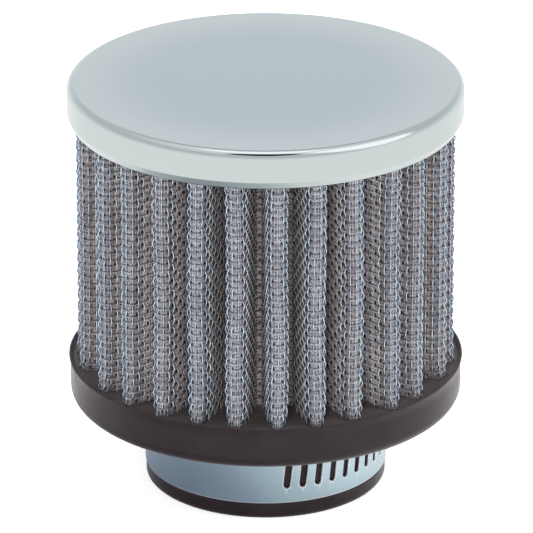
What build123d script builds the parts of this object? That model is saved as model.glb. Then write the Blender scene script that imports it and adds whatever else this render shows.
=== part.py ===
from build123d import *
import os
from math import acos, asin, atan2, cos, degrees, pi, radians, sin, sqrt

# Clamp-on crankcase breather filter: a pleated gauze element between two wire screens, potted
# into a moulded rubber base below and a plated steel cap above, with a worm-drive hose clamp
# round the base's neck. Millimetres. The origin is the centre of the neck's open end, +Z runs
# up the axis to the cap, and the clamp's screw housing is on the +Y side. Angles in plan are
# in degrees from the front (-Y) round towards +X.

# Pleated element. The crests at the front stand as unevenly as they were folded, at these
# distances round the crests' circle, and the others follow at nearly the pitch given
front_crests = [-50.1, -38.6, -30.3, -21.7, -13.8, -5.9, 2.4, 10.1, 18.2, 27.4, 34.8, 45.7]
back_crest_pitch = 8.0
pleat_height = 51.2
crest_radius = 36.8
pleat_depth = 12.8
crest_width = 4.2
valley_gap = 1.2
screen_thickness = 0.55
gauze_thickness = 0.5
crest_facets = 5
valley_facets = 3

# Base, moulded in one with its neck
bore_radius = 19.05
neck_wall = 3.75
bead_step = 0.5
bead_height = 3.3
bead_chamfer = 1.0
mouth_chamfer = 0.8
neck_above_band = 0.8
base_thickness = 7.9
base_edge_radius = 2.5
chamber_chamfer = 1.5
rim_clearance = 0.4
rim_thickness = 1.0
rim_height = 0.7
rim_top_width = 0.3
rim_flare = 0.3
rim_flare_height = 1.6

# Cap and the potting in it
cap_clearance = 0.15
cap_sheet = 0.7
cap_edge_radius = 1.4
cap_lip_width = 1.15
cap_lip_chamfer = 0.9
cap_skirt_below_seal = 2.0
seal_thickness = 5.0

# Clamp band
band_width = 12.7
band_sheet = 0.65
band_above_bead = 0.1
band_layer_gap = 0.05
first_slot_angle = 10.8
slot_pitch = 3.175
slot_length = 6.5
slot_width = 1.3
slot_corner = 0.4
slot_slant = 6.0
ramp_angle = 20.0
ramp_to_housing_angle = 3.0
fixed_end_inset_angle = 1.0
tail_past_housing_angle = 17.0
tail_tip_radius = 4.0

# Screw housing
housing_length = 12.4
housing_sheet = 0.55
housing_side_gap = 0.1
tail_headroom = 0.8
barrel_gap = 0.3
end_wall = 0.8

# Worm screw; the worm is the envelope of its thread
worm_radius = 4.2
worm_to_band = 0.15
screw_end_play = 0.1
journal_radius = 2.6
journal_clearance = 0.06
tip_length = 1.0
collar_radius = 4.4
collar_thickness = 0.8
head_across_flats = 7.94
head_height = 5.0
head_slot_width = 1.3
head_slot_depth = 1.8

# Radii and heights that follow from these
rim_inner_radius = crest_radius + rim_clearance
rim_radius = rim_inner_radius + rim_thickness
base_radius = rim_radius - rim_flare
cap_radius = crest_radius + cap_clearance + cap_lip_width
seal_radius = cap_radius - cap_sheet
neck_radius = bore_radius + neck_wall
bead_radius = neck_radius + bead_step
band_z = bead_height + band_above_bead
band_mid_z = band_z + band_width / 2
neck_length = band_z + band_width + neck_above_band
potting_z = neck_length + base_thickness
rim_z = potting_z + rim_height
seal_z = potting_z + pleat_height
cap_inner_z = seal_z + seal_thickness
cap_top_z = cap_inner_z + cap_sheet
cap_skirt_z = seal_z - cap_skirt_below_seal
band_outer_radius = neck_radius + band_sheet
floor_outer_radius = band_outer_radius + housing_sheet
tail_inner_radius = floor_outer_radius + band_layer_gap
tail_outer_radius = tail_inner_radius + band_sheet
shoulder_inner_y = tail_outer_radius + tail_headroom
screw_y = tail_outer_radius + worm_to_band + worm_radius
housing_half_angle = degrees(asin(housing_length / 2 / floor_outer_radius))
ramp_end_angle = 180 - housing_half_angle - ramp_to_housing_angle
ramp_start_angle = ramp_end_angle - ramp_angle
fixed_end_angle = 180 - housing_half_angle + fixed_end_inset_angle
tail_end_angle = 180 + housing_half_angle + tail_past_housing_angle


def turned(corners, rounded=None, edge_radius=0):
    """A solid of revolution from its corners (radius, height), with one of them rounded."""
    radii = [edge_radius if corner == rounded else 0 for corner in corners]
    outline = FilletPolyline(*corners, radius=radii, close=True)
    return revolve(Plane.XZ * make_face(outline), Axis.Z)


def make_base_boot():
    bottom_edge = (base_radius, neck_length)
    corners = [
        (bore_radius, mouth_chamfer),
        (bore_radius + mouth_chamfer, 0),
        (bead_radius - bead_chamfer, 0),
        (bead_radius, bead_chamfer),
        (bead_radius, bead_height),
        (neck_radius, bead_height),
        (neck_radius, neck_length),
        bottom_edge,
        (base_radius, rim_z - rim_flare_height),
        (rim_radius, rim_z),
        (rim_radius - rim_top_width, rim_z),
        (rim_inner_radius, potting_z),
        (bore_radius + chamber_chamfer, potting_z),
        (bore_radius, potting_z - chamber_chamfer),
    ]
    return turned(corners, bottom_edge, base_edge_radius)


def make_top_cap():
    lip_inner_radius = cap_radius - cap_lip_width
    top_edge = (cap_radius, cap_top_z)
    corners = [
        (0, cap_top_z),
        top_edge,
        (cap_radius, cap_skirt_z + cap_lip_chamfer),
        (cap_radius - cap_lip_chamfer, cap_skirt_z),
        (lip_inner_radius, cap_skirt_z),
        (lip_inner_radius, cap_skirt_z + cap_sheet),
        (seal_radius, cap_skirt_z + cap_sheet),
        (seal_radius, cap_inner_z),
        (0, cap_inner_z),
    ]
    return turned(corners, top_edge, cap_edge_radius)


def make_top_seal():
    return Pos(0, 0, seal_z + seal_thickness / 2) * Cylinder(seal_radius, seal_thickness)


def crest_angles():
    """All the crests, with those at the back spread evenly between the front's outermost two."""
    front = [degrees(distance / crest_radius) for distance in front_crests]
    back = 360 + front[0] - front[-1]
    spaces = round(radians(back) * crest_radius / back_crest_pitch)
    return front + [front[-1] + back / spaces * number for number in range(1, spaces)]


def in_plan(angle, reach):
    return Vector(0, -reach).rotate(Axis.Z, angle)


def wall_normal(between, folds):
    """The outward angle, in radians, of the flat wall that touches two folds on opposite sides."""
    return atan2(between.Y, between.X) - acos(folds / between.length)


def fold_points(centre, radius, first_angle, turn, facets):
    """Points round a fold in plan, with both ends; its angles are in radians."""
    step = turn / facets
    angles = [first_angle + step * number for number in range(facets + 1)]
    return [centre + Vector(cos(angle), sin(angle)) * radius for angle in angles]


def pleat_face(depth):
    """All that the pleated line encloses that lies the given depth under the element's surface."""
    crest_fold = crest_width / 2
    valley_fold = valley_gap / 2
    folds = crest_fold + valley_fold
    stack = 2 * screen_thickness + gauze_thickness
    valley_reach = crest_radius - pleat_depth + stack + valley_fold
    angles = crest_angles()
    valley_angles = [(angle + after) / 2 for angle, after in zip(angles, [*angles[1:], angles[0] + 360])]
    crests = [in_plan(angle, crest_radius - crest_fold) for angle in angles]
    valleys = [in_plan(angle, valley_reach) for angle in valley_angles]
    inward = [wall_normal(valley - crest, folds) for crest, valley in zip(crests, valleys)]
    outward = [wall_normal(crest - valley, -folds)
               for crest, valley in zip([*crests[1:], crests[0]], valleys)]
    points = []
    for number, (crest, valley) in enumerate(zip(crests, valleys)):
        crest_turn = (inward[number] - outward[number - 1]) % (2 * pi)
        valley_turn = (inward[number] - outward[number]) % (2 * pi)
        points += fold_points(crest, crest_fold - depth, outward[number - 1], crest_turn, crest_facets)
        points += fold_points(valley, valley_fold + depth, inward[number] + pi, -valley_turn,
                              valley_facets)
    return make_face(Polyline(*points, close=True))


def make_pleated_sheet(depth, thickness):
    section = pleat_face(depth) - pleat_face(depth + thickness)
    return Pos(0, 0, potting_z) * extrude(section, pleat_height, dir=(0, 0, 1))


def band_line(offset):
    """One side of the band in plan, from its fixed end right round the neck to its tail."""
    start = fixed_end_angle - 360
    loop = CenterArc((0, 0), neck_radius + offset, start - 90, ramp_start_angle - start)
    tail = CenterArc((0, 0), tail_inner_radius + offset, ramp_end_angle - 90,
                     tail_end_angle - ramp_end_angle)
    ramp = Spline(loop @ 1, tail @ 0, tangents=(loop % 1, tail % 0))
    return [loop, ramp, tail]


def make_slot_punch():
    """A slot's outline, leaning as it is stamped, deep enough to pass through one layer."""
    outline = Rectangle(slot_width, slot_length)
    outline = chamfer(outline.vertices(), slot_corner)
    return extrude(Rot(0, 0, -slot_slant) * outline, (band_sheet + housing_sheet) / 2, both=True)


def slot_places():
    """A plane on the middle of each slot, facing outwards, as far as the tail's tip."""
    pitch_angle = degrees(slot_pitch / band_outer_radius)
    plain_end_angle = degrees((tail_tip_radius + slot_width) / tail_outer_radius)
    count = int((tail_end_angle - plain_end_angle - first_slot_angle) / pitch_angle) + 1
    places = []
    for number in range(count):
        angle = first_slot_angle + pitch_angle * number
        climb = min(max((angle - ramp_start_angle) / ramp_angle, 0), 1)
        radius = neck_radius + climb * (tail_inner_radius - neck_radius) + band_sheet / 2
        outward = Vector(0, -1).rotate(Axis.Z, angle)
        origin = outward * radius + Vector(0, 0, band_mid_z)
        places.append(Plane(origin, x_dir=outward.rotate(Axis.Z, 90), z_dir=outward))
    return places


def make_clamp_band():
    near = band_line(0)
    far = band_line(band_sheet)
    ends = [Line(near[0] @ 0, far[0] @ 0), Line(near[2] @ 1, far[2] @ 1)]
    outline = make_face([*near, *far, *ends])
    band = Pos(0, 0, band_z) * extrude(outline, band_width, dir=(0, 0, 1))
    tip = [ends[1] @ 0.5 + Vector(0, 0, height) for height in (band_z, band_z + band_width)]
    tip_corners = [band.edges().sort_by_distance(point)[0] for point in tip]
    band = fillet(tip_corners, tail_tip_radius)
    punch = make_slot_punch()
    return band - [place * punch for place in slot_places()]


def across_housing(section, depth):
    """A section drawn with x up the axis and y outwards, made a solid to both sides of x = 0."""
    return extrude(Plane((0, 0, band_mid_z), x_dir=(0, 0, 1), z_dir=(-1, 0, 0)) * section,
                   depth / 2, both=True)


def arch(half_width, barrel_radius, shoulder_y):
    """The housing's section: a foot astride the band, and the screw's barrel standing on it."""
    foot = Pos(0, shoulder_y / 2) * Rectangle(2 * half_width, shoulder_y)
    web = Pos(0, screw_y / 2) * Rectangle(2 * barrel_radius, screw_y)
    return foot + web + Pos(0, screw_y) * Circle(barrel_radius)


def make_clamp_housing():
    half_inside = band_width / 2 + housing_side_gap
    barrel_inside = worm_radius + barrel_gap
    outside = arch(half_inside + housing_sheet, barrel_inside + housing_sheet,
                   shoulder_inner_y + housing_sheet)
    tunnel = Pos(0, shoulder_inner_y / 2) * Rectangle(2 * half_inside, shoulder_inner_y)
    inside = arch(half_inside, barrel_inside, shoulder_inner_y)
    journal = Pos(0, screw_y) * Circle(journal_radius + journal_clearance)
    band_space = Pos(0, 0, band_mid_z) * Cylinder(band_outer_radius, 2 * band_width)
    floor_space = Pos(0, 0, band_mid_z) * Cylinder(floor_outer_radius, 2 * band_width)
    hollow = across_housing(tunnel, housing_length)
    hollow += across_housing(inside, housing_length - 2 * end_wall)
    hollow -= floor_space
    return (across_housing(outside, housing_length) - band_space - hollow
            - across_housing(journal, housing_length))


def make_screw_head():
    """A hexagon head with a turned crown and a screwdriver slot, standing on z = 0."""
    crown_radius = head_across_flats / sqrt(3)
    hexagon = extrude(RegularPolygon(head_across_flats / 2, 6, major_radius=False), head_height)
    crown = Pos(0, 0, head_height / 2) * Cylinder(crown_radius, head_height)
    top_edge = crown.edges().sort_by(Axis.Z)[-1]
    crown = chamfer(top_edge, crown_radius - head_across_flats / 2)
    slot = Box(3 * crown_radius, head_slot_width, 2 * head_slot_depth)
    return (hexagon & crown) - Pos(0, 0, head_height) * slot


def make_clamp_screw():
    half_length = housing_length / 2
    worm_end = half_length - end_wall - screw_end_play
    collar_start = half_length + screw_end_play
    head_start = collar_start + collar_thickness
    shank = turned([
        (0, -half_length - tip_length),
        (journal_radius, -half_length - tip_length),
        (journal_radius, -worm_end),
        (worm_radius, -worm_end),
        (worm_radius, worm_end),
        (journal_radius, worm_end),
        (journal_radius, collar_start),
        (collar_radius, collar_start),
        (collar_radius, head_start),
        (0, head_start),
    ])
    screw = shank + Pos(0, 0, head_start) * make_screw_head()
    return Plane((0, screw_y, band_mid_z), x_dir=(0, 0, 1), z_dir=(-1, 0, 0)) * screw


parts = {
    "base_boot": make_base_boot(),
    "outer_screen": make_pleated_sheet(0, screen_thickness),
    "filter_gauze": make_pleated_sheet(screen_thickness, gauze_thickness),
    "inner_screen": make_pleated_sheet(screen_thickness + gauze_thickness, screen_thickness),
    "top_seal": make_top_seal(),
    "top_cap": make_top_cap(),
    "clamp_band": make_clamp_band(),
    "clamp_housing": make_clamp_housing(),
    "clamp_screw": make_clamp_screw(),
}

os.makedirs("parts", exist_ok=True)
for name, shape in parts.items():
    export_step(shape, f"parts/{name}.step")
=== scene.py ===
from math import acos, atan2, cos, hypot, pi, radians, sin

import bmesh
import bpy
import numpy as np
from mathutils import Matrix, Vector


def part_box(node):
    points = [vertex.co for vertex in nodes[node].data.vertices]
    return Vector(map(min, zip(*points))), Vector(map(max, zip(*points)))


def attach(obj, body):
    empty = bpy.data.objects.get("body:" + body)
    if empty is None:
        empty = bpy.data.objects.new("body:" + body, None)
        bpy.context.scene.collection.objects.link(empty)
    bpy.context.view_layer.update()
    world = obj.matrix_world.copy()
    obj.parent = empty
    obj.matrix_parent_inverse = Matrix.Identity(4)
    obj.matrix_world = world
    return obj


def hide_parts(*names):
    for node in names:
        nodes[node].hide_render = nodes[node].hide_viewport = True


# Clamp-on crankcase breather filter: a pleated element of cotton gauze between wire screens, under
# a plated cap, in a rubber base with a hose clamp round its neck. Sizes in the settings are
# millimetres, and angles in plan are degrees from the front (-Y) round towards +X.

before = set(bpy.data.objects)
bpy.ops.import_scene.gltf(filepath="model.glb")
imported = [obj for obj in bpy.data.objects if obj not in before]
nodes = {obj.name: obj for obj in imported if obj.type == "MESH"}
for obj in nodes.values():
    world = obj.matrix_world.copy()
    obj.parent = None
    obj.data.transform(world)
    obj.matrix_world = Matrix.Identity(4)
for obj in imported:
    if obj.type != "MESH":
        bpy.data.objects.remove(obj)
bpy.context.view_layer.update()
mm = 0.001


def nodeSpan(name):
    # a node's lowest and highest points and its reach from the axis
    low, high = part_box(name)
    return low.z / mm, high.z / mm, high.x / mm


capLow, capTop, capRadius = nodeSpan("top_cap")
elementLow, elementTop, elementRadius = nodeSpan("outer_screen")
baseLow, rimTop, rimRadius = nodeSpan("base_boot")


# Colours and nodes

def hexColour(text):
    values = [int(text[place:place + 2], 16) / 255 for place in (1, 3, 5)]
    linear = [v / 12.92 if v <= 0.04045 else ((v + 0.055) / 1.055) ** 2.4 for v in values]
    return (*linear, 1)


def addNode(tree, kind, settings=None, links=None, stops=()):
    # a lower case name is the node's own setting, a capital or a number is one of its sockets, and
    # a colour ramp's stops are places with a colour or a grey
    node = tree.nodes.new(kind)
    for name, value in (settings or {}).items():
        if isinstance(name, int) or name[0].isupper():
            node.inputs[name].default_value = value
        else:
            setattr(node, name, value)
    for name, source in (links or {}).items():
        tree.links.new(source, node.inputs[name])
    while stops and len(node.color_ramp.elements) < len(stops):
        node.color_ramp.elements.new(1.0)
    for number, (place, colour) in enumerate(stops):
        node.color_ramp.elements[number].position = place
        rgb = colour if isinstance(colour, tuple) else (colour, colour, colour)
        node.color_ramp.elements[number].color = (*rgb, 1)
    return node


def newMaterial(name, shader):
    material = bpy.data.materials.new(name)
    material.use_nodes = True
    tree = material.node_tree
    tree.nodes.clear()
    surface = addNode(tree, "ShaderNodeBsdfPrincipled", shader)
    addNode(tree, "ShaderNodeOutputMaterial", None, {"Surface": surface.outputs[0]})
    return material, tree, surface


# Chromium plate over buffed steel: a near mirror, a little cloudy towards the edge of the disc,
# where its colour is also painted lighter as a painted reflection, with the faint waviness that
# buffing leaves
chromeLook = {
    "plate": "#cdd7d5", "brightRimPlate": "#dfe5e2", "roughness": 0.06, "cloudyRoughness": 0.14,
    "cloudAndBrightStart": 20, "cloudAndBrightEnd": 37.5, "discDepth": 0.12, "waveSize": 9.0, "waveDepth": 0.004,
}


def makeChrome():
    look = chromeLook
    material, tree, surface = newMaterial("chromePlatedSteel", {"Metallic": 1.0})
    place = addNode(tree, "ShaderNodeTexCoord")
    flat = addNode(tree, "ShaderNodeVectorMath", {"operation": "MULTIPLY", 1: (1, 1, 0)},
                   {0: place.outputs["Object"]})
    reach = addNode(tree, "ShaderNodeVectorMath", {"operation": "LENGTH"}, {0: flat.outputs[0]})
    cloudAndBrightRim = addNode(tree, "ShaderNodeMapRange",
                    {"interpolation_type": "SMOOTHSTEP", "From Min": look["cloudAndBrightStart"] * mm,
                     "From Max": look["cloudAndBrightEnd"] * mm},
                    {"Value": reach.outputs["Value"]})
    parts = addNode(tree, "ShaderNodeSeparateXYZ", None, {0: place.outputs["Object"]})
    onDisc = addNode(tree, "ShaderNodeMapRange",
                     {"From Min": (capTop - look["discDepth"]) * mm, "From Max": capTop * mm},
                     {"Value": parts.outputs["Z"]})
    cloudAndBrightRim = addNode(tree, "ShaderNodeMath", {"operation": "MULTIPLY"},
                    {0: cloudAndBrightRim.outputs[0], 1: onDisc.outputs[0]})
    # painted reflection: the plate's colour is painted lighter towards the edge of the disc
    tint = addNode(tree, "ShaderNodeMix",
                   {"data_type": "RGBA", 6: hexColour(look["plate"]),
                    7: hexColour(look["brightRimPlate"])},
                   {0: cloudAndBrightRim.outputs[0]})
    haze = addNode(tree, "ShaderNodeMapRange",
                   {"To Min": look["roughness"], "To Max": look["cloudyRoughness"]},
                   {"Value": cloudAndBrightRim.outputs[0]})
    wave = addNode(tree, "ShaderNodeTexNoise", {"Scale": 1 / (look["waveSize"] * mm), "Detail": 2.0},
                   {"Vector": place.outputs["Object"]})
    bump = addNode(tree, "ShaderNodeBump", {"Distance": look["waveDepth"] * mm},
                   {"Height": wave.outputs[0]})
    tree.links.new(tint.outputs[2], surface.inputs["Base Color"])
    tree.links.new(haze.outputs[0], surface.inputs["Roughness"])
    tree.links.new(bump.outputs[0], surface.inputs["Normal"])
    return material


# Black nitrile rubber, moulded: a soft satin black, with the fine grain of the mould, paler scuffs
# and a little dust that shows at a slant. The potting that was poured round the pleats is duller,
# and paler: partly its own tone and partly painted light, which lifts it out of the shade under the
# element
rubberLook = {
    "rubber": "#180e12", "scuffed": "#221819", "roughness": 0.28, "scuffRoughness": 0.42,
    "grainSize": 0.35, "grainDepth": 0.012, "scuffSize": 7.0, "scuffSpan": (0.45, 0.75),
    "dust": 0.16, "dustColour": "#d0c6c0", "dustRoughness": 0.4, "ior": 1.4,
}
# paler partly as painted light against the shade under the element
pottingLook = dict(rubberLook, rubber="#3d3436", scuffed="#4a4041", roughness=0.5)


def makeRubber(name, look):
    material, tree, surface = newMaterial(name, {
        "IOR": look["ior"], "Sheen Weight": look["dust"], "Sheen Roughness": look["dustRoughness"],
        "Sheen Tint": hexColour(look["dustColour"])})
    place = addNode(tree, "ShaderNodeTexCoord")
    scuff = addNode(tree, "ShaderNodeTexNoise",
                    {"Scale": 1 / (look["scuffSize"] * mm), "Detail": 5.0, "Roughness": 0.65},
                    {"Vector": place.outputs["Object"]})
    amount = addNode(tree, "ShaderNodeMapRange",
                     {"From Min": look["scuffSpan"][0], "From Max": look["scuffSpan"][1]},
                     {"Value": scuff.outputs[0]})
    tint = addNode(tree, "ShaderNodeMix",
                   {"data_type": "RGBA", 6: hexColour(look["rubber"]), 7: hexColour(look["scuffed"])},
                   {0: amount.outputs[0]})
    dull = addNode(tree, "ShaderNodeMapRange",
                   {"To Min": look["roughness"], "To Max": look["scuffRoughness"]},
                   {"Value": amount.outputs[0]})
    grain = addNode(tree, "ShaderNodeTexNoise", {"Scale": 1 / (look["grainSize"] * mm), "Detail": 3.0},
                    {"Vector": place.outputs["Object"]})
    bump = addNode(tree, "ShaderNodeBump", {"Distance": look["grainDepth"] * mm},
                   {"Height": grain.outputs[0]})
    tree.links.new(tint.outputs[2], surface.inputs["Base Color"])
    tree.links.new(dull.outputs[0], surface.inputs["Roughness"])
    tree.links.new(bump.outputs[0], surface.inputs["Normal"])
    return material


# How far in from the crests the bottom of the folds lies
foldReach = 11.2


def foldDepth(tree, place):
    # 0 at the crests of the pleats and 1 at the bottom of the folds
    flat = addNode(tree, "ShaderNodeVectorMath", {"operation": "MULTIPLY", 1: (1, 1, 0)},
                   {0: place.outputs["Object"]})
    reach = addNode(tree, "ShaderNodeVectorMath", {"operation": "LENGTH"}, {0: flat.outputs[0]})
    depth = addNode(tree, "ShaderNodeMapRange",
                    {"From Min": elementRadius * mm, "From Max": (elementRadius - foldReach) * mm},
                    {"Value": reach.outputs["Value"]})
    return depth.outputs[0]


# Drawn aluminium wire: the warp stands proud and bright, with dull patches of oil, and the weft,
# which lies in the oiled gauze, has taken on its grey. Down in the folds both are less metallic,
# and their colour is darkened with depth as painted shade, darkest at the bottom. Places in inFolds
# are fold depths
warpLook = {
    "wire": "#e0f1ff", "dulled": "#b3c4da", "roughness": 0.2, "dulledRoughness": 0.4,
    "patchSize": 1.4, "patchSpan": (0.4, 0.65), "bareSpan": (0.15, 0.4), "bareInFolds": 0.2,
    "inFolds": [(0.0, 0.9), (0.04, 0.95), (0.08, 1.0), (0.25, 1.0), (0.34, (0.56, 0.49, 0.43)),
                (0.5, (0.32, 0.26, 0.23)), (0.75, (0.32, 0.26, 0.23)), (0.95, (0.26, 0.21, 0.19))],
}
weftLook = {
    "wire": "#bdb8bb", "dulled": "#9e999b", "roughness": 0.45, "dulledRoughness": 0.6,
    "patchSize": 1.8, "patchSpan": (0.4, 0.65), "bareSpan": (0.15, 0.4), "bareInFolds": 0.2,
    "inFolds": [(0.08, 1.0), (0.2, (0.6, 0.57, 0.52)), (0.45, (0.36, 0.33, 0.29)),
                (0.75, (0.36, 0.33, 0.29)), (0.95, (0.3, 0.27, 0.23))],
}


def makeWireMetal(name, look):
    material, tree, surface = newMaterial(name, {"Metallic": 1.0})
    place = addNode(tree, "ShaderNodeTexCoord")
    patch = addNode(tree, "ShaderNodeTexNoise",
                    {"Scale": 1 / (look["patchSize"] * mm), "Detail": 2.0},
                    {"Vector": place.outputs["Object"]})
    amount = addNode(tree, "ShaderNodeMapRange",
                     {"From Min": look["patchSpan"][0], "From Max": look["patchSpan"][1]},
                     {"Value": patch.outputs[0]})
    tint = addNode(tree, "ShaderNodeMix",
                   {"data_type": "RGBA", 6: hexColour(look["wire"]), 7: hexColour(look["dulled"])},
                   {0: amount.outputs[0]})
    depth = foldDepth(tree, place)
    # painted shade: the wire's colour is darkened by fold depth
    foldShade = addNode(tree, "ShaderNodeValToRGB", None, {0: depth}, look["inFolds"])
    tint = addNode(tree, "ShaderNodeMix", {"data_type": "RGBA", "blend_type": "MULTIPLY", 0: 1.0},
                   {6: tint.outputs[2], 7: foldShade.outputs[0]})
    bare = addNode(tree, "ShaderNodeMapRange",
                   {"From Min": look["bareSpan"][0], "From Max": look["bareSpan"][1],
                    "To Min": 1.0, "To Max": look["bareInFolds"]},
                   {"Value": depth})
    tree.links.new(bare.outputs[0], surface.inputs["Metallic"])
    dull = addNode(tree, "ShaderNodeMapRange",
                   {"To Min": look["roughness"], "To Max": look["dulledRoughness"]},
                   {"Value": amount.outputs[0]})
    tree.links.new(tint.outputs[2], surface.inputs["Base Color"])
    tree.links.new(dull.outputs[0], surface.inputs["Roughness"])
    return material


# Oiled cotton gauze: soft grey threads with dark holes between them, and a dash of painted shadow
# wherever a wire of the warp crosses over the weft. The threads run on the sheet's own UV map, and
# are drawn at 0.65 mm, about twice the real spacing, so that they show
gauzeLook = {
    "thread": "#c7c4c8", "dirtyThread": "#9c989c", "hole": "#382811", "threadSpacing": 0.65,
    "holeEdge": 0.34, "threadEdge": 0.74, "wander": 0.5, "wanderScale": 0.6, "threadDepth": 0.12,
    "blotchSize": 5.0, "blotchSpan": (0.4, 0.65), "speck": "#959194", "speckSize": 0.45,
    "speckSpan": (0.45, 0.7), "roughness": 0.85, "wireShadow": "#1f160a", "wireShadowSpan": (0.15, 0.9),
    "wireShadowOnCrests": 0.75, "crestDepth": 0.1,
    # painted by fold depth: shade on the crest shoulders and fold bottoms, light on the fold walls
    "inFolds": [(0.05, (0.57, 0.58, 0.6)), (0.13, (0.43, 0.4, 0.39)), (0.22, (0.45, 0.42, 0.41)),
                (0.4, (0.93, 0.89, 0.89)), (0.75, (0.88, 0.84, 0.85)), (0.97, (0.5, 0.47, 0.47))],
}


def makeCloth(name, look, sheetLength, sheetHeight, warpCount, weftCount, shader):
    material, tree, surface = newMaterial(name, shader)
    place = addNode(tree, "ShaderNodeTexCoord")
    count = (sheetLength / look["threadSpacing"], sheetHeight / look["threadSpacing"], 1)
    spread = addNode(tree, "ShaderNodeVectorMath", {"operation": "MULTIPLY", 1: count},
                     {0: place.outputs["UV"]})
    onSheet = addNode(tree, "ShaderNodeSeparateXYZ", None, {0: place.outputs["UV"]})
    wander = addNode(tree, "ShaderNodeTexNoise", {"Scale": look["wanderScale"], "Detail": 2.0},
                     {"Vector": spread.outputs[0]})
    shift = addNode(tree, "ShaderNodeVectorMath",
                    {"operation": "MULTIPLY_ADD", 1: (look["wander"],) * 3},
                    {0: wander.outputs["Color"], 2: spread.outputs[0]})
    parts = addNode(tree, "ShaderNodeSeparateXYZ", None, {0: shift.outputs[0]})
    threads = []
    for axis in (0, 1):
        turn = addNode(tree, "ShaderNodeMath", {"operation": "MULTIPLY", 1: pi},
                       {0: parts.outputs[axis]})
        wave = addNode(tree, "ShaderNodeMath", {"operation": "COSINE"}, {0: turn.outputs[0]})
        threads.append(addNode(tree, "ShaderNodeMath", {"operation": "ABSOLUTE"},
                               {0: wave.outputs[0]}))
    cloth = addNode(tree, "ShaderNodeMath", {"operation": "MAXIMUM"},
                    {0: threads[0].outputs[0], 1: threads[1].outputs[0]})
    solid = addNode(tree, "ShaderNodeMapRange",
                    {"interpolation_type": "SMOOTHSTEP", "From Min": look["holeEdge"],
                     "From Max": look["threadEdge"]},
                    {"Value": cloth.outputs[0]})
    blotch = addNode(tree, "ShaderNodeTexNoise",
                     {"Scale": 1 / (look["blotchSize"] * mm), "Detail": 4.0, "Roughness": 0.6},
                     {"Vector": place.outputs["Object"]})
    dirtAndFoldShade = addNode(tree, "ShaderNodeMapRange",
                   {"From Min": look["blotchSpan"][0], "From Max": look["blotchSpan"][1]},
                   {"Value": blotch.outputs[0]})
    tint = addNode(tree, "ShaderNodeMix",
                   {"data_type": "RGBA", 6: hexColour(look["thread"]),
                    7: hexColour(look["dirtyThread"])},
                   {0: dirtAndFoldShade.outputs[0]})
    fleck = addNode(tree, "ShaderNodeTexNoise",
                    {"Scale": 1 / (look["speckSize"] * mm), "Detail": 2.0},
                    {"Vector": place.outputs["Object"]})
    flecks = addNode(tree, "ShaderNodeMapRange",
                     {"From Min": look["speckSpan"][0], "From Max": look["speckSpan"][1]},
                     {"Value": fleck.outputs[0]})
    tint = addNode(tree, "ShaderNodeMix", {"data_type": "RGBA", 7: hexColour(look["speck"])},
                   {0: flecks.outputs[0], 6: tint.outputs[2]})
    colour = addNode(tree, "ShaderNodeMix", {"data_type": "RGBA", 6: hexColour(look["hole"])},
                     {0: solid.outputs[0], 7: tint.outputs[2]})
    # the colour is set by fold depth: painted shade on the shoulders of the crests and at the bottom of
    # the folds, and painted light on the walls between
    depth = foldDepth(tree, place)
    dirtAndFoldShade = addNode(tree, "ShaderNodeValToRGB", None, {0: depth}, look["inFolds"])
    colour = addNode(tree, "ShaderNodeMix", {"data_type": "RGBA", "blend_type": "MULTIPLY", 0: 1.0},
                     {6: colour.outputs[2], 7: dirtAndFoldShade.outputs[0]})
    # the two counts of wires make a chequer, whose dark fields are painted shadow at the crossings
    wires = []
    for axis, wireCount in ((0, warpCount), (1, weftCount)):
        turn = addNode(tree, "ShaderNodeMath", {"operation": "MULTIPLY", 1: wireCount * pi},
                       {0: onSheet.outputs[axis]})
        wires.append(addNode(tree, "ShaderNodeMath", {"operation": "SINE"}, {0: turn.outputs[0]}))
    crossing = addNode(tree, "ShaderNodeMath", {"operation": "MULTIPLY"},
                       {0: wires[0].outputs[0], 1: wires[1].outputs[0]})
    amount = addNode(tree, "ShaderNodeMapRange",
                     {"From Max": look["crestDepth"], "To Min": look["wireShadowOnCrests"], "To Max": 1.0},
                     {"Value": depth})
    wireShadowed = addNode(tree, "ShaderNodeMapRange",
                   {"interpolation_type": "SMOOTHSTEP", "From Min": look["wireShadowSpan"][0],
                    "From Max": look["wireShadowSpan"][1]},
                   {"Value": crossing.outputs[0], "To Max": amount.outputs[0]})
    # painted shadow beside the wires where the warp stands over the weft
    colour = addNode(tree, "ShaderNodeMix", {"data_type": "RGBA", 7: hexColour(look["wireShadow"])},
                     {0: wireShadowed.outputs[0], 6: colour.outputs[2]})
    bump = addNode(tree, "ShaderNodeBump", {"Distance": look["threadDepth"] * mm},
                   {"Height": cloth.outputs[0]})
    tree.links.new(colour.outputs[2], surface.inputs["Base Color"])
    tree.links.new(bump.outputs[0], surface.inputs["Normal"])
    return material


# Rolled stainless strip: fine lines run round the band from the rolls, under a soft shine
stripLook = {
    "steel": "#cee4ec", "worn": "#c8dee7", "roughness": 0.22, "wornRoughness": 0.27,
    "lineSpacing": 0.2, "lineLength": 9.0, "lineDepth": 0.0003, "wornSpan": (0.4, 0.7),
}


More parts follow.
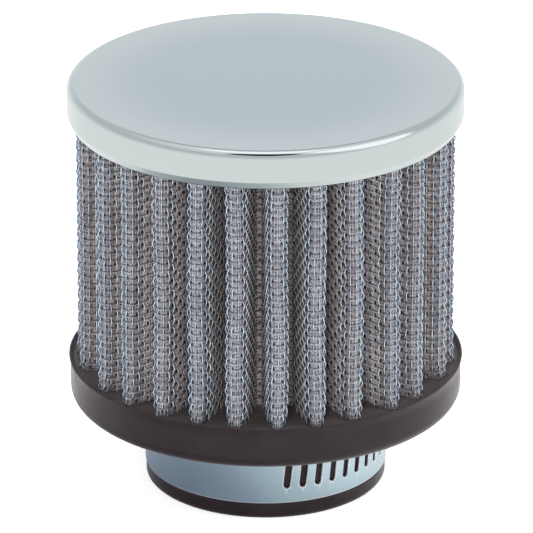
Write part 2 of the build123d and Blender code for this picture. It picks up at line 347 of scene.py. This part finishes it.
def makeRolledSteel(name, look):
    material, tree, surface = newMaterial(name, {"Metallic": 1.0})
    place = addNode(tree, "ShaderNodeTexCoord")
    across = 1 / (look["lineSpacing"] * mm)
    along = 1 / (look["lineLength"] * mm)
    stretch = addNode(tree, "ShaderNodeVectorMath",
                      {"operation": "MULTIPLY", 1: (along, along, across)},
                      {0: place.outputs["Object"]})
    lines = addNode(tree, "ShaderNodeTexNoise", {"Scale": 1.0, "Detail": 3.0},
                    {"Vector": stretch.outputs[0]})
    amount = addNode(tree, "ShaderNodeMapRange",
                     {"From Min": look["wornSpan"][0], "From Max": look["wornSpan"][1]},
                     {"Value": lines.outputs[0]})
    tint = addNode(tree, "ShaderNodeMix",
                   {"data_type": "RGBA", 6: hexColour(look["steel"]), 7: hexColour(look["worn"])},
                   {0: amount.outputs[0]})
    dull = addNode(tree, "ShaderNodeMapRange",
                   {"To Min": look["roughness"], "To Max": look["wornRoughness"]},
                   {"Value": amount.outputs[0]})
    bump = addNode(tree, "ShaderNodeBump", {"Distance": look["lineDepth"] * mm},
                   {"Height": lines.outputs[0]})
    tree.links.new(tint.outputs[2], surface.inputs["Base Color"])
    tree.links.new(dull.outputs[0], surface.inputs["Roughness"])
    tree.links.new(bump.outputs[0], surface.inputs["Normal"])
    return material


# Pieces. The pole is the radius at which a turned piece starts instead of at its axis
turning = {"pole": 0.001, "mergeWithin": 0.003, "near": 0.01, "sharpest": 50}


def clearSelection():
    if bpy.context.object and bpy.context.object.mode != "OBJECT":
        bpy.ops.object.mode_set(mode="OBJECT")
    bpy.ops.object.select_all(action="DESELECT")


def placePiece(piece, body, slot, material, *stoodFor):
    if not piece.data.materials:
        piece.data.materials.append(material)
    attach(piece, body)
    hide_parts(*stoodFor)
    triangles = sum(len(face.vertices) - 2 for face in piece.data.polygons)
    print(f"{piece.name}: {triangles} triangles")


def turnPiece(name, corners, sides):
    # a ring is added at the first corner and pulled out to each of the others in turn
    clearSelection()
    rings = [(max(corner[0], turning["pole"]) * mm, corner[1] * mm) for corner in corners]
    radius, height = rings[0]
    bpy.ops.mesh.primitive_circle_add(vertices=sides, radius=radius, location=(0, 0, height))
    piece = bpy.context.object
    piece.name = name
    piece.data.name = name
    bpy.ops.object.transform_apply(location=True, rotation=True, scale=True)
    bpy.ops.object.mode_set(mode="EDIT")
    bpy.ops.mesh.select_all(action="SELECT")
    for nextRadius, nextHeight in rings[1:]:
        bpy.ops.mesh.extrude_edges_move(
            TRANSFORM_OT_translate={"value": (0, 0, nextHeight - height)})
        grow = nextRadius / radius
        bpy.ops.transform.resize(value=(grow, grow, 1), center_override=(0, 0, 0))
        radius, height = nextRadius, nextHeight
    bpy.ops.mesh.select_all(action="SELECT")
    bpy.ops.mesh.remove_doubles(threshold=turning["mergeWithin"] * mm)
    bpy.ops.mesh.normals_make_consistent(inside=False)
    for corner in corners:
        if len(corner) == 4:
            roundRing(piece, *corner)
    bpy.ops.object.mode_set(mode="OBJECT")
    return piece


def roundRing(piece, radius, height, width, steps):
    # bevels the ring of edges that lies at this radius and height
    near = turning["near"]
    bpy.ops.mesh.select_mode(type="EDGE")
    bpy.ops.mesh.select_all(action="DESELECT")
    shape = bmesh.from_edit_mesh(piece.data)
    for edge in shape.edges:
        edge.select = all(abs(hypot(*v.co.xy) / mm - radius) < near
                          and abs(v.co.z / mm - height) < near for v in edge.verts)
    shape.select_flush_mode()
    bmesh.update_edit_mesh(piece.data)
    bpy.ops.mesh.bevel(offset=width * mm, offset_type="OFFSET", segments=steps, profile=0.5,
                       affect="EDGES")


def smoothPiece(piece, sharpest):
    clearSelection()
    piece.select_set(True)
    bpy.context.view_layer.objects.active = piece
    bpy.ops.object.shade_smooth_by_angle(angle=radians(sharpest))
    weigh = piece.modifiers.new("weigh", "WEIGHTED_NORMAL")
    weigh.keep_sharp = True
    bpy.ops.object.modifier_apply(modifier=weigh.name)


# Cap: drawn from one sheet, its edge rounded and its skirt rolled in under the lip.
# A corner is a radius and a height, and then the width and steps of its rounding if it has one
capShape = {
    "sides": 192, "edgeRound": 1.6, "lipWidth": 1.15, "sheet": 0.7, "lipHeight": 1.6,
    "lipIn": 0.8, "lipToe": 0.1, "toeWidth": 0.15, "lipRound": 0.15, "toeRound": 0.12,
    "innerRound": 0.1, "short": 0.2, "discRings": (0.4, 0.75),
}


def makeCap():
    shape = capShape
    inside = capRadius - shape["sheet"]
    lipInside = capRadius - shape["lipWidth"]
    low = capLow + shape["short"]
    lipTop = low + shape["sheet"]
    toe = capRadius - shape["lipIn"]
    corners = [
        (0, capTop),
        (capRadius * shape["discRings"][0], capTop),
        (capRadius * shape["discRings"][1], capTop),
        (capRadius, capTop, shape["edgeRound"], 10),
        (capRadius, low + shape["lipHeight"], shape["lipRound"], 3),
        (toe, low + shape["lipToe"], shape["toeRound"], 3),
        (toe - shape["toeWidth"], low),
        (lipInside, low, shape["innerRound"], 2),
        (lipInside, lipTop),
        (inside, lipTop),
        (inside, capTop - shape["sheet"]),
        (0, capTop - shape["sheet"]),
    ]
    piece = turnPiece("pressed_cap", corners, shape["sides"])
    smoothPiece(piece, turning["sharpest"])
    placePiece(piece, "filter", "plated_steel", makeChrome(), "top_cap")


# Base: flange, rim and neck moulded in one, every outer edge soft
baseShape = {
    "sides": 160, "bore": 19.05, "neck": 22.8, "bead": 23.3, "beadHeight": 3.3, "beadRound": 1.3,
    "mouthRound": 0.8, "beadTopRound": 0.35, "neckFootRound": 0.1, "neckTopRound": 0.3,
    "flangeLow": 16.9, "flange": 37.9, "flangeRound": 2.5, "flareHeight": 1.6, "flareRound": 0.6,
    "rimTop": 37.9, "rimRound": 0.12, "rimInner": 37.2, "rimFootRound": 0.2, "chamberBevel": 1.5,
    "pottingReach": 0.1, "pottingDrop": 0.3,
}


def makeBase():
    shape = baseShape
    corners = [
        (shape["bore"], elementLow - shape["chamberBevel"]),
        (shape["bore"], baseLow, shape["mouthRound"], 5),
        (shape["bead"], baseLow, shape["beadRound"], 7),
        (shape["bead"], shape["beadHeight"], shape["beadTopRound"], 4),
        (shape["neck"], shape["beadHeight"], shape["neckFootRound"], 2),
        (shape["neck"], shape["flangeLow"], shape["neckTopRound"], 3),
        (shape["flange"], shape["flangeLow"], shape["flangeRound"], 9),
        (shape["flange"], rimTop - shape["flareHeight"], shape["flareRound"], 3),
        (rimRadius, rimTop, shape["rimRound"], 3),
        (shape["rimTop"], rimTop, shape["rimRound"], 3),
        (shape["rimInner"], elementLow, shape["rimFootRound"], 3),
        (shape["bore"] + shape["chamberBevel"], elementLow),
        (shape["bore"], elementLow - shape["chamberBevel"]),
    ]
    piece = turnPiece("rubber_base", corners, shape["sides"])
    smoothPiece(piece, turning["sharpest"])
    piece.data.materials.append(rubber)
    piece.data.materials.append(makeRubber("pouredRubberPotting", pottingLook))
    for face in piece.data.polygons:
        inRim = hypot(*face.center.xy) / mm < shape["rimInner"] + shape["pottingReach"]
        if inRim and face.center.z / mm > elementLow - shape["pottingDrop"]:
            face.material_index = 1
    placePiece(piece, "filter", "moulded_rubber", rubber, "base_boot")


# Pleats: the line that the screens and the gauze follow in plan. The crests that show at the
# front stand as unevenly as the folding left them, and the rest are spread evenly behind
pleatShape = {
    "frontCrests": [-50.1, -38.6, -30.3, -21.7, -13.8, -5.9, 2.4, 10.1, 18.2, 27.4, 34.8, 45.7],
    "backPitch": 8.0, "crestFold": 2.1, "valleyFold": 0.6, "valleyReach": 26.2,
    "foldSteps": 9, "wallSteps": 3, "footHeight": 5.0, "footOut": 0.25, "footNarrow": 0.3,
    "lean": 0.22, "leanLength": 42.0, "leanShift": 2.4,
}


def crestAngles():
    front = [crest / elementRadius for crest in pleatShape["frontCrests"]]
    back = 2 * pi + front[0] - front[-1]
    spaces = round(back * elementRadius / pleatShape["backPitch"])
    return np.array(front + [front[-1] + back / spaces * number for number in range(1, spaces)])


def planPoint(angle, reach):
    return np.array([sin(angle) * reach, -cos(angle) * reach])


def pleatLine():
    # points on the element's outer surface in plan, with their outward normals and distances
    shape = pleatShape
    crests = crestAngles()
    after = np.append(crests[1:], crests[0] + 2 * pi)
    folds = shape["crestFold"] + shape["valleyFold"]
    crestCentres = [planPoint(a, elementRadius - shape["crestFold"]) for a in crests]
    valleyCentres = [planPoint((a + b) / 2, shape["valleyReach"]) for a, b in zip(crests, after)]
    leaving, arriving = [], []
    for number, valley in enumerate(valleyCentres):
        out = valley - crestCentres[number]
        back = crestCentres[(number + 1) % len(crests)] - valley
        leaving.append(atan2(out[1], out[0]) - acos(folds / hypot(*out)))
        arriving.append(atan2(back[1], back[0]) - acos(-folds / hypot(*back)))
    points, normals = [], []
    for number, centre in enumerate(crestCentres):
        start = arriving[number - 1]
        sweep = (leaving[number] - start) % (2 * pi)
        for step in np.linspace(0, 1, shape["foldSteps"]):
            normal = np.array([cos(start + sweep * step), sin(start + sweep * step)])
            points.append(centre + normal * shape["crestFold"])
            normals.append(normal)
        valley = valleyCentres[number]
        wallStart = points[-1]
        wallEnd = valley - normals[-1] * shape["valleyFold"]
        for step in range(1, shape["wallSteps"]):
            points.append(wallStart + (wallEnd - wallStart) * step / shape["wallSteps"])
            normals.append(normals[-1])
        sweep = (leaving[number] - arriving[number]) % (2 * pi)
        for step in np.linspace(0, 1, shape["foldSteps"]):
            turn = leaving[number] - sweep * step
            normal = np.array([cos(turn), sin(turn)])
            points.append(valley - normal * shape["valleyFold"])
            normals.append(normal)
        nextStart = crestCentres[(number + 1) % len(crests)] + normals[-1] * shape["crestFold"]
        wallStart = points[-1]
        for step in range(1, shape["wallSteps"]):
            points.append(wallStart + (nextStart - wallStart) * step / shape["wallSteps"])
            normals.append(normals[-1])
    points.append(points[0])
    normals.append(normals[0])
    points, normals = np.array(points), np.array(normals)
    along = np.concatenate([[0], np.cumsum(np.hypot(*np.diff(points, axis=0).T))])
    return points, normals, along


linePoints, lineNormals, lineAlong = pleatLine()
lineLength = lineAlong[-1]
print(f"pleated line: {lineLength:.0f} mm round {len(crestAngles())} pleats")


def onLine(distance):
    wrapped = np.mod(distance, lineLength)
    point = np.stack([np.interp(wrapped, lineAlong, linePoints[:, n]) for n in (0, 1)], -1)
    normal = np.stack([np.interp(wrapped, lineAlong, lineNormals[:, n]) for n in (0, 1)], -1)
    return point, normal / np.linalg.norm(normal, axis=-1, keepdims=True)


def settle(points):
    # the pleats as they stand: a little further out and narrower where they sink into the rubber,
    # and each leaning to and fro in its own way
    shape = pleatShape
    crests = crestAngles()
    x, y, z = points[..., 0], points[..., 1], points[..., 2]
    reach = np.hypot(x, y)
    angle = np.arctan2(x, -y)
    apart = np.angle(np.exp(1j * (angle[..., None] - crests)))
    nearest = np.abs(apart).argmin(-1)
    off = np.take_along_axis(apart, nearest[..., None], -1)[..., 0]
    foot = np.clip(1 - (z - elementLow) / shape["footHeight"], 0, 1) ** 2
    outer = np.clip((reach - shape["valleyReach"]) / (elementRadius - shape["valleyReach"]), 0, 1)
    newReach = reach + shape["footOut"] * foot * outer ** 2
    newOff = off * (1 - shape["footNarrow"] * foot * outer)
    swing = np.sin(2 * pi * z / shape["leanLength"] + nearest * shape["leanShift"])
    lean = np.radians(shape["lean"]) * swing * outer * (1 - foot)
    turned = crests[nearest] + newOff + lean
    return np.stack([np.sin(turned) * newReach, -np.cos(turned) * newReach, z], -1)


# Outer screen: square woven wire cloth, every wire modelled and crimped over and under the next.
# The wires are made straight from their formula, because only that follows the pleats
screenShape = {
    "warpWire": 0.3, "weftWire": 0.22, "warpCrimp": 0.16, "weftCrimp": 0.09, "sheet": 0.55,
    "warpPitch": 1.35, "weftPitch": 1.28, "bend": 0.2, "sides": 4, "rootDepth": 0.15, "headRoom": 0.1,
    "warpWander": 0.04, "weftWander": 0.12, "weftWaves": (20, 60), "frayed": 0.4, "seed": 5,
}


def wirePiece(name, wire, centres, outward, sideways, closed, material):
    # each wire is a tube through its own row of centres
    sides = screenShape["sides"]
    turn = np.arange(sides) * 2 * pi / sides
    ring = (outward[..., None, :] * np.cos(turn)[:, None]
            + sideways[..., None, :] * np.sin(turn)[:, None]) * wire / 2
    corners = centres[..., None, :] + ring
    wires, rings = centres.shape[:2]
    number = np.arange(wires * rings * sides).reshape(wires, rings, sides)
    nextRing = np.roll(number, -1, 1)
    here, there = (number, nextRing) if closed else (number[:, :-1], nextRing[:, :-1])
    faces = np.stack([here, np.roll(here, -1, 2), np.roll(there, -1, 2), there], -1).reshape(-1, 4)
    if not closed:
        faces = np.concatenate([faces, number[:, 0, ::-1], number[:, -1]])
    mesh = bpy.data.meshes.new(name)
    mesh.from_pydata((corners.reshape(-1, 3) * mm).tolist(), [], faces.tolist())
    mesh.polygons.foreach_set("use_smooth", [True] * len(mesh.polygons))
    piece = bpy.data.objects.new(name, mesh)
    bpy.context.scene.collection.objects.link(piece)
    placePiece(piece, "filter", "wire_cloth", material, "outer_screen")


def wireTotals():
    # an even number in the warp, so that the weft meets its own start on the same side
    return (2 * round(lineLength / screenShape["warpPitch"] / 2),
            round((elementTop - elementLow) / screenShape["weftPitch"]))


def makeOuterScreen():
    shape = screenShape
    chance = np.random.RandomState(shape["seed"])
    warpCount, weftCount = wireTotals()
    low = elementLow - shape["rootDepth"]
    high = elementTop - shape["headRoom"]
    warpStep = lineLength / warpCount
    weftStep = (high - low) / weftCount
    depth = shape["sheet"] / 2
    bends = np.array([-shape["bend"], shape["bend"]])
    warpShift = chance.uniform(-1, 1, warpCount) * shape["warpWander"]
    # warp: wires that run up the pleats
    bright = makeWireMetal("brightAluminiumWire", warpLook)
    heights = low + (np.arange(weftCount)[:, None] + 0.5 + bends) * weftStep
    heights = np.concatenate([[low], heights.ravel(), [high]])
    rows = np.concatenate([[0], np.repeat(np.arange(weftCount), 2), [weftCount - 1]])
    middle = warpCount // 2
    for part, wires in (("left", np.arange(middle)), ("right", np.arange(middle, warpCount))):
        point, normal = onLine((wires + 0.5) * warpStep + warpShift[wires])
        side = (-1.0) ** (wires[:, None] + rows)
        lift = side * shape["warpCrimp"] - depth
        lift[:, 0] += chance.uniform(0, 1, len(wires)) * shape["frayed"]
        plan = point[:, None] + normal[:, None] * lift[..., None]
        tall = np.broadcast_to(heights, plan.shape[:2])[..., None]
        centres = settle(np.concatenate([plan, tall], -1))
        outward = np.concatenate([normal, 0 * normal[:, :1]], -1)[:, None] + 0 * centres
        sideways = np.cross([0, 0, 1], outward)
        wirePiece(f"screen_warp_{part}", shape["warpWire"], centres, outward, sideways, False, bright)
    # weft: wires that run round the element, in and out of every pleat
    dull = makeWireMetal("oiledAluminiumWire", weftLook)
    columns = np.repeat(np.arange(warpCount), 2)
    distance = (columns + 0.5 + np.tile(bends, warpCount)) * warpStep + warpShift[columns]
    point, normal = onLine(distance)
    middle = weftCount // 2
    for part, wires in (("low", np.arange(middle)), ("high", np.arange(middle, weftCount))):
        side = -((-1.0) ** (wires[:, None] + columns))
        lift = side * shape["weftCrimp"] - depth
        plan = point + normal * lift[..., None]
        waveCount = chance.randint(*shape["weftWaves"], len(wires))[:, None]
        waves = np.sin(2 * pi * distance / lineLength * waveCount
                       + chance.uniform(0, 2 * pi, len(wires))[:, None])
        tall = low + (wires[:, None] + 0.5) * weftStep + waves * shape["weftWander"]
        centres = settle(np.concatenate([plan, tall[..., None]], -1))
        outward = np.concatenate([normal, 0 * normal[:, :1]], -1) + 0 * centres
        sideways = np.array([0, 0, -1]) + 0 * centres
        wirePiece(f"screen_weft_{part}", shape["weftWire"], centres, outward, sideways, True, dull)


# Gauze and inner screen: sheets that lie against each other all along the same pleats
sheetShape = {
    "gauzeOuter": 0.55, "gauzeInner": 1.05, "screenInner": 1.6, "rowStep": 5.0, "footRows": 8,
    "sharpest": 50,
}


def sheetPiece(name, outerDepth, innerDepth, material, slot, node):
    shape = sheetShape
    footTop = elementLow + pleatShape["footHeight"]
    rows = int((elementTop - footTop) / shape["rowStep"])
    heights = np.concatenate([np.linspace(elementLow, footTop, shape["footRows"]),
                              np.linspace(footTop, elementTop, rows + 1)[1:]])
    columns = len(linePoints) - 1
    shells = []
    for depth in (outerDepth, innerDepth):
        plan = np.broadcast_to((linePoints - lineNormals * depth)[:columns, None],
                               (columns, len(heights), 2))
        tall = np.broadcast_to(heights, plan.shape[:2])[..., None]
        shells.append(settle(np.concatenate([plan, tall], -1)))
    number = np.arange(2 * columns * len(heights)).reshape(2, columns, len(heights))
    after = np.roll(number, -1, 1)
    outer = np.stack([number[0, :, :-1], after[0, :, :-1], after[0, :, 1:], number[0, :, 1:]], -1)
    inner = np.stack([number[1, :, :-1], number[1, :, 1:], after[1, :, 1:], after[1, :, :-1]], -1)
    foot = np.stack([number[0, :, 0], number[1, :, 0], after[1, :, 0], after[0, :, 0]], -1)
    head = np.stack([number[0, :, -1], after[0, :, -1], after[1, :, -1], number[1, :, -1]], -1)
    faces = np.concatenate([part.reshape(-1, 4) for part in (outer, inner, foot, head)])
    mesh = bpy.data.meshes.new(name)
    mesh.from_pydata((np.array(shells).reshape(-1, 3) * mm).tolist(), [], faces.tolist())
    # u runs along the pleated line and v up it, each from 0 to 1; the last face ends at u = 1
    u = np.broadcast_to((lineAlong[:columns] / lineLength)[:, None], number.shape)
    v = np.broadcast_to((heights - elementLow) / (elementTop - elementLow), number.shape)
    corner = np.stack([u.ravel()[faces], v.ravel()[faces]], -1)
    wraps = corner[..., 0].max(-1) - corner[..., 0].min(-1) > 0.5
    corner[..., 0] = np.where(wraps[:, None] & (corner[..., 0] < 0.5), corner[..., 0] + 1,
                              corner[..., 0])
    mesh.uv_layers.new(name="cloth").data.foreach_set("uv", corner.ravel())
    mesh.polygons.foreach_set("use_smooth", [True] * len(mesh.polygons))
    piece = bpy.data.objects.new(name, mesh)
    bpy.context.scene.collection.objects.link(piece)
    smoothPiece(piece, sheetShape["sharpest"])
    placePiece(piece, "filter", slot, material, node)


def makeSheets():
    shape = sheetShape
    size = (lineLength, elementTop - elementLow)
    gauze = makeCloth("oiledCottonGauze", gauzeLook, *size, *wireTotals(),
                      {"Roughness": gauzeLook["roughness"]})
    sheetPiece("gauze_sheet", shape["gauzeOuter"], shape["gauzeInner"], gauze, "cotton_gauze",
               "filter_gauze")
    # the inner screen is wire cloth too, seen only up the bore, so its wires are a pattern
    # it keeps the gauze's painted shade and light down the folds and its painted wire shadows
    innerLook = dict(gauzeLook, thread="#b4b9bf", dirtyThread="#8d9298", hole="#1c1b1d",
                     threadSpacing=screenShape["warpPitch"])
    inner = makeCloth("wovenInnerScreen", innerLook, *size, *wireTotals(),
                      {"Metallic": 0.8, "Roughness": 0.4})
    sheetPiece("inner_screen_sheet", shape["gauzeInner"], shape["screenInner"], inner, "wire_cloth",
               "inner_screen")


rubber = makeRubber("mouldedNitrileRubber", rubberLook)
makeCap()
makeBase()
print("cap and base made")
makeOuterScreen()
makeSheets()
print("screens and gauze made")

# Clamp: the band and its screw housing with their stamped edges eased, and the worm screw as it is
clampShape = {
    "bandEdge": 0.27, "housingEdge": 0.2, "edgeSteps": 3, "sharpest": 34, "flattest": 0.5,
    "mergeWithin": 0.002,
}


def easedCopy(nodeName, name, width, body, slot, material, edgeMaterial):
    # the rounded edges get a material of their own, nearly white as a painted highlight
    shape = clampShape
    clearSelection()
    mesh = nodes[nodeName].data.copy()
    mesh.materials.clear()
    mesh.materials.append(material)
    mesh.materials.append(edgeMaterial)
    piece = bpy.data.objects.new(name, mesh)
    piece.matrix_world = nodes[nodeName].matrix_world
    bpy.context.scene.collection.objects.link(piece)
    piece.select_set(True)
    bpy.context.view_layer.objects.active = piece
    bpy.ops.object.transform_apply(location=True, rotation=True, scale=True)
    bpy.ops.object.mode_set(mode="EDIT")
    bpy.ops.mesh.select_all(action="SELECT")
    bpy.ops.mesh.remove_doubles(threshold=shape["mergeWithin"] * mm)
    bpy.ops.mesh.dissolve_limited(angle_limit=radians(shape["flattest"]))
    bpy.ops.object.mode_set(mode="OBJECT")
    ease = piece.modifiers.new("ease", "BEVEL")
    ease.width = width * mm
    ease.segments = shape["edgeSteps"]
    ease.use_clamp_overlap = False
    ease.material = 1
    ease.angle_limit = radians(shape["sharpest"])
    bpy.ops.object.modifier_apply(modifier=ease.name)
    smoothPiece(piece, shape["sharpest"])
    placePiece(piece, body, slot, material, nodeName)


bandSteel = makeRolledSteel("rolledStainlessStrip", stripLook)
# Eased edges: nearly white, as a painted highlight along them
edgeLook = dict(stripLook, steel="#ffffff", worn="#f4fafd", roughness=0.5, wornRoughness=0.6)
edgeSteel = makeRolledSteel("steelEdgePaintedHighlight", edgeLook)
# Zinc plate on the screw: greyer and duller than the strip, with short lines from turning
screwLook = dict(stripLook, steel="#b9bfc2", lineSpacing=0.3, lineLength=1.5, roughness=0.3)
easedCopy("clamp_band", "slotted_band", clampShape["bandEdge"], "filter", "clamp_steel", bandSteel,
          edgeSteel)
easedCopy("clamp_housing", "screw_housing", clampShape["housingEdge"], "filter", "clamp_steel",
          bandSteel, edgeSteel)
nodes["clamp_screw"].material_slots[0].material = makeRolledSteel("zincPlatedSteel", screwLook)
nodes["top_seal"].material_slots[0].material = rubber
print("clamp finished")


# Camera, floor and light, in metres and watts, with the lens and the sensor in millimetres

cameraView = {
    "lens": 450.5, "sensor": 36.0, "distance": 1.2902, "elevation": 22.736, "aim": (0, 0, 0.040),
    "shiftX": 0.0017, "shiftY": 0.0278, "clipStart": 0.05,
}


def makeCamera():
    view = cameraView
    tilt = radians(view["elevation"])
    back = Vector((0, -cos(tilt), sin(tilt)))
    camera = bpy.data.cameras.new("camera")
    camera.lens = view["lens"]
    camera.sensor_width = view["sensor"]
    camera.shift_x = view["shiftX"]
    camera.shift_y = view["shiftY"]
    camera.clip_start = view["clipStart"]
    stand = bpy.data.objects.new("camera", camera)
    stand.location = Vector(view["aim"]) + back * view["distance"]
    stand.rotation_euler = (-back).to_track_quat("-Z", "Y").to_euler()
    bpy.context.scene.collection.objects.link(stand)
    bpy.context.scene.camera = stand


# Each lamp has its place, its size and its power
studio = {"floorSize": 12.0, "floorGrey": 0.92, "cameraLift": 0.42, "fill": 1.0, "lampAim": (0, 0, 0.05)}
lamps = {
    "keyLight": ((0.22, 0.42, 1.5), 1.9, 20.0),
    "frontLight": ((-0.1, -1.6, 0.6), 0.6, 21.0),
    "leftLight": ((-1.4, -0.25, 0.4), 0.5, 9.0),
    "rightLight": ((1.4, -0.25, 0.4), 0.5, 14.0),
}
# The paper as the shiny pieces see it: the filter's shade is painted on it here, by distance from
# the darkest place
paperShade = (-0.024, -0.018, 0)
paperSeen = [(0.0, (0.20, 0.21, 0.25)), (0.016, (0.26, 0.265, 0.31)), (0.024, (0.30, 0.31, 0.37)),
             (0.034, (0.47, 0.495, 0.515)), (0.042, (0.55, 0.57, 0.60)), (0.056, (0.88, 0.88, 0.88)),
             (0.08, (1.05, 1.05, 1.05)), (0.2, (1.0, 1.0, 1.0))]
# The room, which lights every piece and shows in the shiny ones, is painted too: by height of the
# direction, and then the oval patches in it, each with its direction, its reach and its colour
roomSeen = [(0.0, (0.95, 0.95, 0.95)), (0.386, (0.70, 0.735, 0.79)), (0.5, (0.66, 0.665, 0.70)),
            (0.7, (0.66, 0.66, 0.69)), (0.9, (0.9, 0.9, 0.9))]
roomPatches = {
    "ceilingEdge": ((0.0, 0.75, 0.66), (0.2, 0.16, 0.2), (0.36, 0.40, 0.52)),
    "softbox": ((-0.02, 0.16, 1.0), (0.27, 0.28, 0.5), (1.4, 1.4, 1.4)),
    "window": ((0.62, -0.15, 0.65), (0.45, 0.4, 0.55), (1.4, 1.4, 1.4)),
    "cameraStand": ((-0.01, -0.42, 0.9), (0.27, 0.23, 0.25), (0.004, 0.002, 0.001)),
}
patchEdge = (0.8, 1.1)


def makeFloor():
    clearSelection()
    bpy.ops.mesh.primitive_plane_add(size=studio["floorSize"])
    floor = bpy.context.object
    floor.name = "floor"
    material = bpy.data.materials.new("paperFloor")
    material.use_nodes = True
    tree = material.node_tree
    tree.nodes.clear()
    grey = (*[studio["floorGrey"]] * 3, 1)
    paper = addNode(tree, "ShaderNodeBsdfDiffuse", {"Color": grey})
    # the camera sees the paper white, and a mirror sees the painted shade instead of the thrown one
    path = addNode(tree, "ShaderNodeLightPath")
    lift = addNode(tree, "ShaderNodeEmission", {"Strength": studio["cameraLift"]})
    white = addNode(tree, "ShaderNodeAddShader", None, {0: paper.outputs[0], 1: lift.outputs[0]})
    seen = addNode(tree, "ShaderNodeMixShader", None,
                   {0: path.outputs["Is Camera Ray"], 1: paper.outputs[0], 2: white.outputs[0]})
    place = addNode(tree, "ShaderNodeTexCoord")
    fromShade = addNode(tree, "ShaderNodeVectorMath", {"operation": "SUBTRACT", 1: paperShade},
                        {0: place.outputs["Object"]})
    reach = addNode(tree, "ShaderNodeVectorMath", {"operation": "LENGTH"}, {0: fromShade.outputs[0]})
    span = paperSeen[-1][0]
    share = addNode(tree, "ShaderNodeMath", {"operation": "DIVIDE", 1: span},
                    {0: reach.outputs["Value"]})
    shade = addNode(tree, "ShaderNodeValToRGB", None, {0: share.outputs[0]},
                    [(far / span, level) for far, level in paperSeen])
    mirrored = addNode(tree, "ShaderNodeEmission", None, {"Color": shade.outputs[0]})
    both = addNode(tree, "ShaderNodeMixShader", None,
                   {0: path.outputs["Is Glossy Ray"], 1: seen.outputs[0], 2: mirrored.outputs[0]})
    addNode(tree, "ShaderNodeOutputMaterial", None, {"Surface": both.outputs[0]})
    floor.data.materials.append(material)


def makeWorld():
    world = bpy.data.worlds.new("studio")
    bpy.context.scene.world = world
    world.use_nodes = True
    tree = world.node_tree
    tree.nodes.clear()
    place = addNode(tree, "ShaderNodeTexCoord")
    parts = addNode(tree, "ShaderNodeSeparateXYZ", None, {0: place.outputs["Generated"]})
    sky = addNode(tree, "ShaderNodeValToRGB", None, {0: parts.outputs["Z"]}, roomSeen)
    colour = sky.outputs[0]
    for centre, size, shade in roomPatches.values():
        patch = addNode(tree, "ShaderNodeVectorMath", {"operation": "SUBTRACT", 1: centre},
                        {0: place.outputs["Generated"]})
        patch = addNode(tree, "ShaderNodeVectorMath", {"operation": "DIVIDE", 1: size},
                        {0: patch.outputs[0]})
        reach = addNode(tree, "ShaderNodeVectorMath", {"operation": "LENGTH"}, {0: patch.outputs[0]})
        amount = addNode(tree, "ShaderNodeMapRange",
                         {"interpolation_type": "SMOOTHSTEP", "From Min": patchEdge[1],
                          "From Max": patchEdge[0]},
                         {"Value": reach.outputs["Value"]})
        mixed = addNode(tree, "ShaderNodeMix", {"data_type": "RGBA", 7: (*shade, 1)},
                        {0: amount.outputs[0], 6: colour})
        colour = mixed.outputs[2]
    room = addNode(tree, "ShaderNodeBackground", {"Strength": studio["fill"]}, {"Color": colour})
    white = addNode(tree, "ShaderNodeBackground", {"Color": (1, 1, 1, 1), "Strength": 1.0})
    path = addNode(tree, "ShaderNodeLightPath")
    either = addNode(tree, "ShaderNodeMixShader", None,
                     {0: path.outputs["Is Camera Ray"], 1: room.outputs[0], 2: white.outputs[0]})
    addNode(tree, "ShaderNodeOutputWorld", None, {"Surface": either.outputs[0]})


def addSoftbox(name, place, size, power):
    lamp = bpy.data.lights.new(name, "AREA")
    lamp.shape = "SQUARE"
    lamp.size = size
    lamp.energy = power
    stand = bpy.data.objects.new(name, lamp)
    stand.location = place
    aim = Vector(studio["lampAim"]) - Vector(place)
    stand.rotation_euler = aim.to_track_quat("-Z", "Y").to_euler()
    # the highlights come from the room's patches, so no lamp shows in a shiny piece
    stand.visible_glossy = False
    bpy.context.scene.collection.objects.link(stand)


makeCamera()
makeFloor()
makeWorld()
for name, (place, size, power) in lamps.items():
    addSoftbox(name, place, size, power)
bpy.context.scene.view_settings.view_transform = "Standard"
print("camera, floor and light set")
